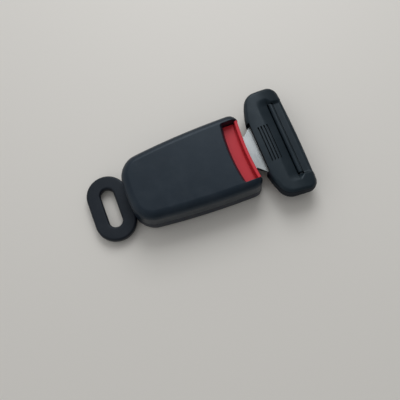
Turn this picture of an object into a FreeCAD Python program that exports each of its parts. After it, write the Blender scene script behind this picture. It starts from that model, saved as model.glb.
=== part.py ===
import FreeCAD, Part
import math
import os

V = FreeCAD.Vector

# Seat belt buckle with its tongue pushed home and its anchor eye at the far end, in millimetres.
# X runs from the anchor eye to the tongue, Y across, Z up. The origin lies on the floor, under the middle
# of the whole set. The latch lever is drawn lifted, as it stands just before the tongue clicks in.

# Buckle housing
housing_wall = 2.0
arm_width = 4.7
middle_taper = 0.7
rear_taper = 4.6
rear_bow = 1.2
rear_corner_radius = 11.0
front_corner_radius = 6.5
top_edge_radius = 5.5
bottom_edge_radius = 3.0
seam_height = 8.6
seam_groove = 0.35
seam_lip_height = 1.2
seam_lip_thickness = 0.9
seam_lip_clearance = 0.1
snap_post_radius = 1.4
snap_post_clearance = 0.1
snap_socket_wall = 1.2
snap_post_height = 13.0
snap_post_inset = 2.55
snap_post_from_rear = 17.0
snap_socket_lift = 1.0
support_rib_width = 2.0
rib_seat = 0.5

# Button, its notch in the top and its return springs
notch_depth = 12.1
notch_sagitta = 1.8
notch_corner_radius = 1.2
notch_rim_radius = 1.1
button_side_clearance = 0.4
button_setback = 0.5
button_sagitta = 1.1
button_top = 16.0
button_bottom = 12.7
button_travel = 4.5
button_lip_width = 1.9
button_lip_rise = 1.3
button_lip_radius = 0.6
button_groove_width = 0.6
button_groove_depth = 0.8
button_length = 16.0
rail_length = 12.0
rail_width = 3.0
rail_frame_gap = 0.7
rail_drop = 0.5
finger_thickness = 2.0
finger_half_width = 6.0
button_spring_length = 13.0
button_spring_radius = 1.5
button_spring_drop = 1.8

# Tongue blade
blade_half_width = 10.95
blade_thickness = 2.4
blade_bottom = 9.6
blade_insertion = 32.8
blade_bridge = 5.0
blade_tip_chamfer = 3.0
blade_window_length = 9.7
blade_window_half_width = 6.0
blade_window_corner = 1.0
blade_side_clearance = 0.3
flare_half_width = 16.05
flare_length = 5.3

# Tongue head
head_gap = 4.8
head_depth = 26.6
head_end_cap = 10.9
head_shoulder = 16.5
head_slant = 5.6
head_end_slope = 1.4
head_front_bow = 1.2
head_thickness = 11.6
head_top_radius = 3.2
head_bottom_radius = 2.5
head_corner_radius = 6.0
head_shoulder_radius = 8.0
head_recess_depth = 1.4
head_recess_play = 0.1
head_front_step = 0.5
crown_radius = 34.0
crown_setback = 7.8
grip_count = 4
grip_pitch = 1.9
grip_half_length = 11.7
grip_width = 0.9
grip_depth = 0.9
grip_setback = 5.1
pocket_half_length = 24.5
pocket_floor = 9.0
valley_length = 4.6
valley_depth = 3.4
valley_bulge = 0.5
pocket_start_rise = 0.3
scoop_depth = 4.0
scoop_sag = 0.12
rim_drop = 4.6
rim_width = 0.7
bar_width = 3.0
bar_height = 4.6
bar_setback = 8.3
bar_rear_gap = 1.5
bar_front_gap = 1.1
bar_socket = 1.5
bar_end_gap = 0.5
bar_spigot_height = 2.4
bar_edge_radius = 1.4
bar_drop = 1.6
strap_slot_width = 4.3
strap_slot_shift = 0.3
plate_border = 1.2
plate_hole_corner = 2.0

# Anchor eye
eye_reach = 23.75
eye_half_length = 20.9
eye_width = 25.2
eye_slot_width = 8.1
eye_slot_half_length = 12.35
coat_thickness = 4.4
coat_edge_radius = 1.4
coat_lining = 1.0
eye_height = 3.8
anchor_thickness = 2.4
shank_half_width = 10.0
shank_length = 29.0

# Frame channel and rivets
frame_thickness = 2.2
frame_wall = 2.0
frame_lock_gap = 1.6
frame_low_wall = 12.4
frame_rear_inset = 4.5
frame_front_inset = 7.0
frame_high_start = 6.0
frame_high_end = 22.0
rivet_radius = 2.0
rivet_head_radius = 3.2
rivet_head_height = 1.0
rivet_spacing = 12.0
rivet_inset = 5.0
rivet_block_gap = 1.95
guide_rivet_radius = 0.8
guide_rivet_inset = 12.0

# Mouth guide
guide_length = 16.0
guide_wall = 2.25
guide_floor = 9.45
guide_lip_overlap = 1.5
guide_lip_gap = 0.05

# Latch lever, its pin and its spring
pivot_from_tip = 16.3
pivot_height = 13.2
pin_radius = 1.5
pin_clearance = 0.05
pin_head_length = 0.8
pin_head_radius = 2.2
latch_lift = 9.5
latch_thickness = 2.0
latch_side_gap = 0.6
latch_bore_wall = 1.0
latch_neck_length = 4.0
latch_nose_half_width = 6.2
latch_nose_overhang = 0.4
latch_hole_length = 6.5
latch_hole_half_width = 3.4
tooth_length = 4.0
tooth_half_width = 5.0
tooth_depth = 3.6
tooth_play = 0.7
ear_thickness = 1.4
ear_radius = 2.9
tail_length = 5.6
latch_spring_radius = 1.5

# Lock slide and its springs
lock_travel = 4.0
lock_thickness = 1.2
lock_nose_gap = 0.06
lock_length = 17.0
lock_roof_gap = 0.2
peg_length = 2.0
peg_half_width = 3.0
peg_gap = 0.15
peg_foot = 0.2
lock_spring_side = 9.0
lock_spring_length = 8.0
lock_spring_radius = 1.2
lock_spring_drop = 0.4
stop_thickness = 2.0
stop_half_width = 2.0
stop_drop = 1.5

# Ejector and its spring
ejector_height = 3.9
prong_length = 12.0
prong_inner = 6.5
prong_outer = 10.5
crossbar_length = 3.0
ejector_spring_length = 12.0
ejector_spring_radius = 1.45
spring_block_length = 3.0
spring_block_half_width = 9.0

# Running gaps and spring wire
slide_gap = 0.05
face_gap = 0.3
wire_size = 0.5
coil_pitch = 2.2
coil_runs = 8
end_turn_pitch = 0.55

# Reach of a cutting tool past the face that it cuts, and the fit of level and flush edges
past = 1.0
same = 1e-6

# Widths, from the blade outwards
channel_half_width = blade_half_width + blade_side_clearance
frame_inner = channel_half_width + guide_wall
frame_half_width = frame_inner + frame_wall
latch_half_width = frame_inner - latch_side_gap
rail_middle = frame_half_width + rail_frame_gap + rail_width / 2
button_half_width = rail_middle + rail_width / 2
notch_half_width = button_half_width + button_side_clearance
front_half_width = notch_half_width + arm_width
middle_half_width = front_half_width - middle_taper
rear_half_width = front_half_width - rear_taper
snap_post_side = rear_half_width - snap_post_inset
guide_rivet_side = channel_half_width + guide_wall / 2
head_half_length = pocket_half_length + head_end_cap

# Places along X, from the anchor eye to the front of the tongue
mechanism_length = blade_insertion + slide_gap + prong_length + crossbar_length + ejector_spring_length
anchor_length = spring_block_length + rivet_block_gap + rivet_head_radius + rivet_inset + frame_rear_inset
housing_length = mechanism_length + anchor_length
total_length = eye_reach + housing_length + head_gap + head_depth
eye_tip_x = -total_length / 2
rear_x = eye_tip_x + eye_reach
front_x = rear_x + housing_length
head_rear_x = front_x + head_gap
head_front_x = head_rear_x + head_depth
notch_x = front_x - notch_depth
tip_x = front_x - blade_insertion
button_front_x = front_x - button_setback
button_rear_x = button_front_x - button_length
pivot_x = tip_x - pivot_from_tip
tooth_x = tip_x + blade_bridge + tooth_play
tooth_end_x = tooth_x + tooth_length
nose_x = tooth_end_x + latch_nose_overhang
frame_rear_x = rear_x + frame_rear_inset
frame_front_x = front_x - frame_front_inset
rivet_x = frame_rear_x + rivet_inset
eye_x = eye_tip_x + eye_width / 2
shank_end_x = eye_tip_x + eye_width + shank_length
crossbar_x = tip_x - slide_gap - prong_length
block_x = crossbar_x - crossbar_length - ejector_spring_length
rail_rear_x = button_rear_x - rail_length
lock_front_x = button_rear_x - button_travel - face_gap - lock_travel
lock_rear_x = lock_front_x - lock_length
bar_x = head_front_x - bar_setback
well_rear_x = bar_x - bar_width / 2 - bar_rear_gap
well_front_x = bar_x + bar_width / 2 + bar_front_gap

# Heights, from the floor to the roof
anchor_bottom = eye_height - anchor_thickness / 2
anchor_top = anchor_bottom + anchor_thickness
frame_bottom = anchor_top
frame_top = frame_bottom + frame_thickness
blade_top = blade_bottom + blade_thickness
lever_bottom = pivot_height - latch_thickness / 2
lever_top = pivot_height + latch_thickness / 2
lift = math.radians(latch_lift)
lifted_nose = pivot_height + (nose_x - pivot_x) * math.sin(lift) + latch_thickness / 2 * math.cos(lift)
lock_bottom = lifted_nose + lock_nose_gap
lock_top = lock_bottom + lock_thickness
frame_high_wall = lock_bottom - frame_lock_gap
roof_height = lock_top + lock_roof_gap
housing_height = roof_height + housing_wall
head_bottom = blade_bottom + blade_thickness / 2 - head_thickness / 2
head_top = head_bottom + head_thickness
bar_top = head_top - bar_drop
ejector_bottom = frame_top + slide_gap


def block(x0, x1, y0, y1, z0, z1):
    """A plain block between two corners."""
    return Part.makeBox(x1 - x0, y1 - y0, z1 - z0, V(x0, y0, z0))


def band(x0, x1, half_width, z0, z1):
    """A block that lies evenly about the middle plane."""
    return block(x0, x1, -half_width, half_width, z0, z1)


def wall_pair(x0, x1, inner, outer, z0, z1):
    """Two like walls, one on each side of the middle plane."""
    return [block(x0, x1, inner, outer, z0, z1), block(x0, x1, -outer, -inner, z0, z1)]


def face_of(edges):
    """A flat face inside a closed run of edges."""
    return Part.Face(Part.Wire(Part.__sortEdges__(edges)))


def extruded(points, direction):
    """A straight-sided outline pushed out along a direction."""
    return Part.Face(Part.makePolygon(points + [points[0]])).extrude(direction)


def upright_edges(shape):
    """The edges of a prism that stand straight up."""
    found = []
    for edge in shape.Edges:
        box = edge.BoundBox
        if box.XLength < same and box.YLength < same:
            found.append(edge)
    return found


def level_edges(shape, height):
    """The edges of a solid that lie flat at one height."""
    found = []
    for edge in shape.Edges:
        box = edge.BoundBox
        if abs(box.ZMin - height) < same and abs(box.ZMax - height) < same:
            found.append(edge)
    return found


def stadium(x, half_length, half_width, z0, z1):
    """A prism with straight sides along Y and a half round at each end."""
    reach = half_length - half_width
    left = x - half_width
    right = x + half_width
    edges = [
        Part.makeLine(V(left, -reach, z0), V(left, reach, z0)),
        Part.Arc(V(left, reach, z0), V(x, half_length, z0), V(right, reach, z0)).toShape(),
        Part.makeLine(V(right, reach, z0), V(right, -reach, z0)),
        Part.Arc(V(right, -reach, z0), V(x, -half_length, z0), V(left, -reach, z0)).toShape(),
    ]
    return face_of(edges).extrude(V(0, 0, z1 - z0))


def across(x, z, radius, y0, y1):
    """A round bar that lies along Y."""
    return Part.makeCylinder(radius, y1 - y0, V(x, y0, z), V(0, 1, 0))


def upright(x, y, radius, z0, z1):
    """A round bar that stands up."""
    return Part.makeCylinder(radius, z1 - z0, V(x, y, z0))


def coil_spring(start, direction, length, radius):
    """A compression spring of square wire with closed ends, bent in short straight runs."""
    half_wire = wire_size / 2
    end_rise = end_turn_pitch
    rise = length - wire_size - 2 * end_rise
    turns = max(1, round(rise / coil_pitch))
    run = 2 * math.pi / coil_runs
    points = []
    height = half_wire
    for number in range((turns + 2) * coil_runs + 1):
        points.append(V(radius * math.cos(number * run), radius * math.sin(number * run), height))
        at_end = number < coil_runs or number >= (turns + 1) * coil_runs
        height += end_rise / coil_runs if at_end else rise / (turns * coil_runs)
    across_wire = V(half_wire, 0, 0)
    along_wire = V(0, 0, half_wire)
    corner = points[0]
    section = [corner - across_wire - along_wire, corner + across_wire - along_wire,
               corner + across_wire + along_wire, corner - across_wire + along_wire]
    profile = Part.makePolygon(section + [section[0]])
    coil = Part.makePolygon(points).makePipeShell([profile], True, False, 1)
    coil.Placement = FreeCAD.Placement(start, FreeCAD.Rotation(V(0, 0, 1), direction))
    return coil


def rivet_pair(x, side, radius, z0, z1):
    """Two upright shafts, one on each side of the middle plane."""
    return [upright(x, side, radius, z0, z1), upright(x, -side, radius, z0, z1)]


def housing_form(inset, low, high):
    """The housing's outer form, or the same form drawn inside it by an inset."""
    x0 = rear_x + inset
    x1 = front_x - inset
    middle_x = (x0 + x1) / 2
    rear = rear_half_width - inset
    middle = middle_half_width - inset
    front = front_half_width - inset
    edges = [Part.Arc(V(x0 + rear_bow, -rear, low), V(x0, 0, low), V(x0 + rear_bow, rear, low)).toShape()]
    edges.append(Part.makeLine(V(x1, -front, low), V(x1, front, low)))
    for side in (-1, 1):
        start = V(x0 + rear_bow, side * rear, low)
        end = V(x1, side * front, low)
        edges.append(Part.Arc(start, V(middle_x, side * middle, low), end).toShape())
    prism = face_of(edges).extrude(V(0, 0, high - low))
    rear_edges = [e for e in upright_edges(prism) if e.BoundBox.XMin < middle_x]
    prism = prism.makeFillet(rear_corner_radius - inset, rear_edges)
    front_edges = [e for e in upright_edges(prism) if abs(e.BoundBox.XMin - x1) < same]
    prism = prism.makeFillet(front_corner_radius - inset, front_edges)
    prism = prism.makeFillet(top_edge_radius - inset, level_edges(prism, high))
    return prism.makeFillet(bottom_edge_radius - inset, level_edges(prism, low))


outer_form = housing_form(0, 0, housing_height)
inner_form = housing_form(housing_wall, housing_wall, roof_height)
wide = 2 * front_half_width
seam_front_x = notch_x - 2 * housing_wall
cover_floor = housing_wall - rib_seat


def ring_inside(inset, low, high):
    """A ring between two heights, from a line inset in the housing's outline to the inside of its wall."""
    ring = housing_form(inset, -past, housing_height + past).cut(inner_form)
    return ring.common(band(rear_x, seam_front_x, wide, low, high))


def seam_ring():
    """The fine groove that runs round the housing where the two covers meet."""
    ring = outer_form.cut(housing_form(seam_groove, -past, housing_height + past))
    return ring.common(band(rear_x - past, front_x + past, wide, seam_height - seam_groove / 2,
                            seam_height + seam_groove / 2))


def notch_form():
    """The notch for the button, open at the front, with a rear edge bowed to the rear."""
    end_x = notch_x + notch_sagitta
    out_x = front_x + past
    low = seam_height
    edges = [
        Part.Arc(V(end_x, -notch_half_width, low), V(notch_x, 0, low),
                 V(end_x, notch_half_width, low)).toShape(),
        Part.makeLine(V(end_x, notch_half_width, low), V(out_x, notch_half_width, low)),
        Part.makeLine(V(out_x, notch_half_width, low), V(out_x, -notch_half_width, low)),
        Part.makeLine(V(out_x, -notch_half_width, low), V(end_x, -notch_half_width, low)),
    ]
    notch = face_of(edges).extrude(V(0, 0, housing_height))
    corners = [e for e in upright_edges(notch) if e.BoundBox.XMin < front_x]
    return notch.makeFillet(notch_corner_radius, corners)


def eye_opening():
    """The room that the covers leave for the eye's coat and for the steel shank."""
    ring = stadium(eye_x, eye_half_length + face_gap, eye_width / 2 + face_gap,
                   eye_height - coat_thickness / 2 - face_gap, eye_height + coat_thickness / 2 + face_gap)
    shank = band(eye_x, rear_x + 2 * housing_wall + rear_bow, shank_half_width + face_gap,
                 anchor_bottom - face_gap, anchor_top + face_gap)
    return ring.fuse(shank)


def snap_places():
    """The two places where the covers snap together, one on each side."""
    x = rear_x + snap_post_from_rear
    return [(x, -snap_post_side), (x, snap_post_side)]


def upper_cover():
    """Black top shell with the button's notch, snap sockets and the stops of the lock springs."""
    hollow = inner_form.common(band(rear_x, notch_x - housing_wall, wide, 0, housing_height))
    cover = outer_form.common(band(rear_x - past, front_x + past, wide, seam_height, housing_height + past))
    passage = band(notch_x - housing_wall - past, front_x + past, notch_half_width, seam_height,
                   button_top + face_gap)
    cover = cover.cut(hollow).cut(notch_form())
    rim = [e for e in level_edges(cover, housing_height) if abs(e.BoundBox.YMax) < notch_half_width + same
           and abs(e.BoundBox.YMin) < notch_half_width + same]
    cover = cover.makeFillet(notch_rim_radius, rim)
    cover = cover.cut(passage).cut(seam_ring())
    cover = cover.cut(ring_inside(housing_wall - seam_lip_thickness - seam_lip_clearance, seam_height,
                                  seam_height + seam_lip_height + seam_lip_clearance))
    socket_low = seam_height + snap_socket_lift
    for x, y in snap_places():
        socket = upright(x, y, snap_post_radius + snap_socket_wall, socket_low, roof_height)
        cover = cover.fuse(socket.common(inner_form))
        cover = cover.cut(upright(x, y, snap_post_radius + snap_post_clearance, seam_height,
                                  snap_post_height + face_gap))
    stop_x = lock_rear_x - lock_spring_length
    for stop in wall_pair(stop_x - stop_thickness, stop_x, lock_spring_side - stop_half_width,
                          lock_spring_side + stop_half_width, lock_bottom - stop_drop,
                          roof_height + rib_seat):
        cover = cover.fuse(stop)
    return cover


def lower_cover():
    """Black bottom shell with the front sill, the ribs under the frame and the button spring stops."""
    cover = outer_form.common(band(rear_x - past, front_x + past, wide, -past, seam_height)).cut(inner_form)
    cover = cover.cut(seam_ring()).cut(eye_opening())
    lip = ring_inside(housing_wall - seam_lip_thickness, seam_height - past, seam_height + seam_lip_height)
    cover = cover.fuse(lip.cut(eye_opening()))
    for x in (rear_x + housing_length / 2, frame_front_x - 2 * support_rib_width):
        cover = cover.fuse(band(x, x + support_rib_width, frame_half_width, cover_floor, frame_bottom))
    cover = cover.fuse(band(frame_rear_x, shank_end_x, support_rib_width, cover_floor, anchor_bottom))
    for x, y in snap_places():
        cover = cover.fuse(upright(x, y, snap_post_radius, cover_floor, snap_post_height))
    stop_x = rail_rear_x - button_spring_length
    for stop in wall_pair(stop_x - stop_thickness, stop_x, rail_middle - rail_width / 2,
                          rail_middle + rail_width / 2, cover_floor, button_top):
        cover = cover.fuse(stop)
    return cover


def bowed_strip(x_front, depth, half_width, low, high):
    """A strip across the button whose front and rear edges are hollow arcs."""
    x_rear = x_front - depth
    edges = []
    for x in (x_front, x_rear):
        edges.append(Part.Arc(V(x, -half_width, low), V(x - button_sagitta, 0, low),
                              V(x, half_width, low)).toShape())
    for side in (-1, 1):
        edges.append(Part.makeLine(V(x_rear, side * half_width, low), V(x_front, side * half_width, low)))
    return face_of(edges).extrude(V(0, 0, high - low))


def press_button():
    """Red button: a plate with a raised lip along its hollow front edge, two rails and a finger."""
    half = button_half_width
    plate = band(button_rear_x, button_front_x - button_lip_width - button_sagitta, half, button_bottom,
                 button_top)
    apron_depth = button_lip_width + 2 * button_sagitta
    apron = bowed_strip(button_front_x, apron_depth, half, button_bottom, button_top)
    lip = bowed_strip(button_front_x, button_lip_width, half, button_bottom, button_top + button_lip_rise)
    lip_top = [e for e in level_edges(lip, button_top + button_lip_rise) if e.BoundBox.YLength > half]
    lip = lip.makeFillet(button_lip_radius, lip_top)
    groove = bowed_strip(button_front_x - button_lip_width, button_groove_width, half + past,
                         button_top - button_groove_depth, button_top + past)
    button = plate.fuse(apron).fuse(lip).cut(groove)
    for rail in wall_pair(rail_rear_x, button_rear_x + past, button_half_width - rail_width,
                          button_half_width, button_bottom, button_top - rail_drop):
        button = button.fuse(rail)
    finger = band(button_rear_x, button_rear_x + finger_thickness, finger_half_width, button_bottom,
                  lock_top)
    return button.fuse(finger).removeSplitter()


def button_spring(side):
    """One return spring, from a stop on the lower cover to the rear of the button's rail."""
    start_x = rail_rear_x - button_spring_length
    start = V(start_x, side * rail_middle, button_top - rail_drop - button_spring_drop)
    return coil_spring(start, V(1, 0, 0), button_spring_length, button_spring_radius)


def anchor_plate():
    """Stamped steel eye with a flat shank that runs under the frame."""
    plate = stadium(eye_x, eye_half_length - coat_lining, eye_width / 2 - coat_lining, anchor_bottom,
                    anchor_top)
    plate = plate.fuse(band(eye_x, shank_end_x, shank_half_width, anchor_bottom, anchor_top))
    plate = plate.cut(stadium(eye_x, eye_slot_half_length + coat_lining, eye_slot_width / 2 + coat_lining,
                              anchor_bottom - past, anchor_top + past))
    for hole in rivet_pair(rivet_x, rivet_spacing / 2, rivet_radius, 0, frame_top):
        plate = plate.cut(hole)
    return plate.removeSplitter()


def eye_coating():
    """Black soft plastic coat moulded round the eye, with rounded edges."""
    low = eye_height - coat_thickness / 2
    high = eye_height + coat_thickness / 2
    coat = stadium(eye_x, eye_half_length, eye_width / 2, low, high)
    coat = coat.cut(stadium(eye_x, eye_slot_half_length, eye_slot_width / 2, low - past, high + past))
    coat = coat.makeFillet(coat_edge_radius, level_edges(coat, low) + level_edges(coat, high))
    return coat.cut(anchor_plate())


def anchor_rivets():
    """Two rivets through the shank and the frame, flush below and headed above."""
    solids = []
    for shaft in rivet_pair(rivet_x, rivet_spacing / 2, rivet_radius, anchor_bottom, frame_top):
        y = shaft.CenterOfMass.y
        head = Part.makeCone(rivet_head_radius, rivet_radius, rivet_head_height, V(rivet_x, y, frame_top))
        solids.append(shaft.fuse(head).removeSplitter())
    return Part.makeCompound(solids)


def guide_rivet_shafts(low, high):
    """The shafts of the two rivets that hold the mouth guide to the frame, or the holes for them."""
    return rivet_pair(frame_front_x - guide_rivet_inset, guide_rivet_side, guide_rivet_radius, low, high)


def frame_channel():
    """Steel channel: a floor, and two side walls that are tall round the latch pin and low in front."""
    frame = band(frame_rear_x, frame_front_x, frame_half_width, frame_bottom, frame_top)
    high_x0 = pivot_x - frame_high_start
    high_x1 = pivot_x + frame_high_end
    slope = frame_high_wall - frame_low_wall
    outline = [(high_x0 - slope, frame_bottom), (high_x0, frame_high_wall), (high_x1, frame_high_wall),
               (high_x1 + slope / 2, frame_low_wall), (frame_front_x, frame_low_wall),
               (frame_front_x, frame_bottom)]
    for y in (-frame_half_width, frame_inner):
        points = [V(x, y, z) for x, z in outline]
        frame = frame.fuse(extruded(points, V(0, frame_wall, 0)))
    frame = frame.cut(across(pivot_x, pivot_height, pin_radius, -frame_half_width - past,
                             frame_half_width + past))
    holes = rivet_pair(rivet_x, rivet_spacing / 2, rivet_radius, 0, housing_height)
    for hole in holes + guide_rivet_shafts(0, housing_height):
        frame = frame.cut(hole)
    return frame.removeSplitter()


def mouth_guide():
    """Plastic insert between the frame's walls, with the channel that the blade slides in."""
    rear = frame_front_x - guide_length
    guide = band(rear, frame_front_x, frame_inner, frame_top, frame_low_wall)
    sill = band(frame_front_x, front_x - guide_lip_overlap, frame_inner, seam_height + guide_lip_gap,
                frame_low_wall)
    guide = guide.fuse(sill)
    guide = guide.cut(band(rear - past, front_x, channel_half_width, guide_floor, frame_low_wall + past))
    for hole in guide_rivet_shafts(0, housing_height):
        guide = guide.cut(hole)
    return guide.removeSplitter()


def guide_rivets():
    """Two small rivets up through the frame's floor into the mouth guide's side walls."""
    return Part.makeCompound(guide_rivet_shafts(frame_bottom, frame_low_wall - face_gap))


def latch_pin():
    """Steel pivot pin of the lever, with a head on each side of the frame."""
    reach = frame_half_width
    pin = across(pivot_x, pivot_height, pin_radius, -reach - pin_head_length, reach + pin_head_length)
    for y in (-reach - pin_head_length, reach):
        pin = pin.fuse(across(pivot_x, pivot_height, pin_head_radius, y, y + pin_head_length))
    return pin.removeSplitter()


def latch_lever():
    """Steel lever on its pin, with a tooth below its nose, drawn lifted clear of the blade."""
    gap = pin_radius + latch_bore_wall
    neck_x = tip_x - latch_neck_length
    front = band(pivot_x + gap, neck_x, latch_half_width, lever_bottom, lever_top)
    nose = band(neck_x - past, nose_x, latch_nose_half_width, lever_bottom, lever_top)
    tooth = band(tooth_x, tooth_end_x, tooth_half_width, lever_bottom - tooth_depth, lever_bottom)
    tail = band(pivot_x - gap - tail_length, pivot_x - gap, latch_half_width, lever_bottom, lever_top)
    lever = front.fuse(nose).fuse(tooth).fuse(tail)
    ear_inner = latch_half_width - ear_thickness
    for y in (-latch_half_width, ear_inner):
        lever = lever.fuse(across(pivot_x, pivot_height, ear_radius, y, y + ear_thickness))
    for arm in wall_pair(pivot_x - gap - past, pivot_x + gap + past, ear_inner, latch_half_width,
                         lever_bottom, lever_top):
        lever = lever.fuse(arm)
    lever = lever.cut(band(tooth_x - latch_hole_length, tooth_x, latch_hole_half_width, lever_bottom - past,
                           lever_top + past))
    bore = across(pivot_x, pivot_height, pin_radius + pin_clearance, -latch_half_width - past,
                  latch_half_width + past)
    lever = lever.cut(bore).removeSplitter()
    lever.rotate(V(pivot_x, 0, pivot_height), V(0, 1, 0), -latch_lift)
    return lever


def latch_spring():
    """Small spring between the housing's roof and the lever's tail, which lifts the tooth."""
    arm = pin_radius + latch_bore_wall + tail_length / 2
    low = lever_top - (arm - latch_spring_radius) * math.sin(lift) + slide_gap
    length = roof_height - slide_gap - low
    return coil_spring(V(pivot_x - arm, 0, low), V(0, 0, 1), length, latch_spring_radius)


def lock_slide():
    """Plate on the frame's walls with a wedge-nosed peg that comes to stand over the dropped lever."""
    slide = band(lock_rear_x, lock_front_x, frame_half_width, lock_bottom, lock_top)
    for leg in wall_pair(lock_rear_x, lock_front_x - lock_travel, frame_inner, frame_half_width,
                         frame_high_wall + slide_gap, lock_bottom):
        slide = slide.fuse(leg)
    foot = lever_top + peg_gap
    front = tooth_x + peg_length - lock_travel
    rear = front - peg_length
    outline = [(rear, lock_bottom), (rear, foot), (rear + peg_foot, foot), (front, foot + peg_length),
               (front, lock_bottom)]
    points = [V(x, -peg_half_width, z) for x, z in outline]
    return slide.fuse(extruded(points, V(0, 2 * peg_half_width, 0))).removeSplitter()


def lock_springs():
    """The pair of small springs behind the lock slide."""
    solids = []
    for side in (-1, 1):
        start = V(lock_rear_x - lock_spring_length, side * lock_spring_side, lock_bottom - lock_spring_drop)
        solids.append(coil_spring(start, V(1, 0, 0), lock_spring_length, lock_spring_radius))
    return Part.makeCompound(solids)


def ejector():
    """Forked plastic slider: two prongs that the blade's tip pushes, joined by a crossbar."""
    top = ejector_bottom + ejector_height
    body = band(crossbar_x - crossbar_length, crossbar_x, prong_outer, ejector_bottom, top)
    for prong in wall_pair(crossbar_x - past, crossbar_x + prong_length, prong_inner, prong_outer,
                           ejector_bottom, top):
        body = body.fuse(prong)
    return body.removeSplitter()


def ejector_spring():
    """Spring between the block in the frame and the ejector's crossbar."""
    middle = frame_top + face_gap + ejector_spring_radius + wire_size / 2
    return coil_spring(V(block_x, 0, middle), V(1, 0, 0), ejector_spring_length, ejector_spring_radius)


def spring_block():
    """Plastic block seated on the frame's floor, the fixed seat of the ejector spring."""
    return band(block_x - spring_block_length, block_x, spring_block_half_width, frame_top,
                ejector_bottom + ejector_height)


def head_outline():
    """The head seen from above, with slanted shoulders, rounded ends and a slightly bowed front."""
    corner_x = head_front_x - head_front_bow
    slant_x = head_rear_x + head_slant
    half = [(corner_x, head_half_length), (slant_x, head_half_length - head_end_slope),
            (head_rear_x, head_shoulder)]
    points = [V(x, -y, head_bottom) for x, y in half] + [V(x, y, head_bottom) for x, y in reversed(half)]
    edges = [Part.makeLine(a, b) for a, b in zip(points[:-1], points[1:])]
    edges.append(Part.Arc(points[-1], V(head_front_x, 0, head_bottom), points[0]).toShape())
    prism = face_of(edges).extrude(V(0, 0, head_thickness + past))
    corners = [e for e in upright_edges(prism) if abs(e.BoundBox.XMin - head_rear_x) > same]
    prism = prism.makeFillet(head_corner_radius, corners)
    shoulders = [e for e in upright_edges(prism) if abs(e.BoundBox.XMin - head_rear_x) < same]
    return prism.makeFillet(head_shoulder_radius, shoulders)


def head_form():
    """The head's body: its outline under a crown that falls away towards the front, with round edges."""
    crown = across(head_rear_x + crown_setback, head_top - crown_radius, crown_radius, -wide, wide)
    head = head_outline().common(crown)
    top_edges = [e for e in head.Edges if e.BoundBox.ZMin > head_bottom + past]
    head = head.makeFillet(head_top_radius, top_edges)
    return head.makeFillet(head_bottom_radius, level_edges(head, head_bottom))


def pocket_form():
    """The hollow for the webbing: a valley down to the well that holds the bar, and a scoop in front."""
    over = head_top + past
    start_x = well_rear_x - valley_length
    rim_x = head_front_x - rim_width
    rim_z = head_top - rim_drop
    valley_z = head_top - valley_depth
    scoop_z = head_top - scoop_depth
    y = -pocket_half_length
    middle_x = (start_x + well_rear_x) / 2 + valley_bulge
    middle_z = (head_top + valley_z) / 2 + valley_bulge
    scoop_x = (well_front_x + rim_x) / 2
    rim = V(rim_x, y, rim_z)
    points = [V(well_rear_x, y, valley_z), V(well_rear_x, y, pocket_floor), V(well_front_x, y, pocket_floor),
              V(well_front_x, y, scoop_z)]
    start = V(start_x, y, head_top + pocket_start_rise)
    edges = [Part.Arc(start, V(middle_x, y, middle_z), points[0]).toShape()]
    edges += [Part.makeLine(a, b) for a, b in zip(points[:-1], points[1:])]
    edges.append(Part.Arc(points[-1], V(scoop_x, y, (scoop_z + rim_z) / 2 - scoop_sag), rim).toShape())
    out_x = head_front_x + past
    loop = [rim, V(out_x, y, rim_z), V(out_x, y, over), V(start_x, y, over), start]
    edges += [Part.makeLine(a, b) for a, b in zip(loop[:-1], loop[1:])]
    return face_of(edges).extrude(V(0, 2 * pocket_half_length, 0))


def strap_slot():
    """The slot in the pocket's floor that both plies of the webbing pass through."""
    x = bar_x + strap_slot_shift
    return band(x - strap_slot_width / 2, x + strap_slot_width / 2, pocket_half_length, head_bottom - past,
                pocket_floor + past)


def webbing_bar():
    """Rounded bar across the pocket, with a low spigot at each end that sits in a socket."""
    reach = pocket_half_length - bar_end_gap
    left = bar_x - bar_width / 2
    right = bar_x + bar_width / 2
    bar = band(left, right, reach, bar_top - bar_height, bar_top)
    bar = bar.makeFillet(bar_edge_radius, [e for e in bar.Edges if e.BoundBox.YLength > reach])
    inset = bar_edge_radius / 2
    spigot = band(left + inset, right - inset, pocket_half_length + bar_socket, bar_top - bar_height,
                  bar_top - bar_height + bar_spigot_height)
    return bar.fuse(spigot).removeSplitter()


def tongue_plate():
    """Steel blade with its latch window, flared into the head, with a hole round the pocket."""
    plate_rear = head_rear_x + head_recess_depth
    flare_x = plate_rear - flare_length
    plate_front = head_front_x - plate_border - head_front_bow
    inner = head_half_length - head_top_radius - plate_border
    half = [(tip_x, blade_half_width - blade_tip_chamfer), (tip_x + blade_tip_chamfer, blade_half_width),
            (flare_x, blade_half_width), (plate_rear, flare_half_width),
            (plate_rear + head_slant, inner - head_slant), (plate_rear + 2 * head_slant, inner),
            (plate_front - blade_tip_chamfer, inner), (plate_front, inner - blade_tip_chamfer)]
    points = [V(x, -y, blade_bottom) for x, y in half] + [V(x, y, blade_bottom) for x, y in reversed(half)]
    plate = extruded(points, V(0, 0, blade_thickness))
    window_x = tip_x + blade_bridge
    window = band(window_x, window_x + blade_window_length, blade_window_half_width, blade_bottom - past,
                  blade_top + past)
    window = window.makeFillet(blade_window_corner, upright_edges(window))
    hole = band(well_rear_x - plate_border, well_front_x + plate_border,
                pocket_half_length + bar_socket + slide_gap, blade_bottom - past, blade_top + past)
    hole = hole.makeFillet(plate_hole_corner, upright_edges(hole))
    return plate.cut(window).cut(hole)


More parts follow.
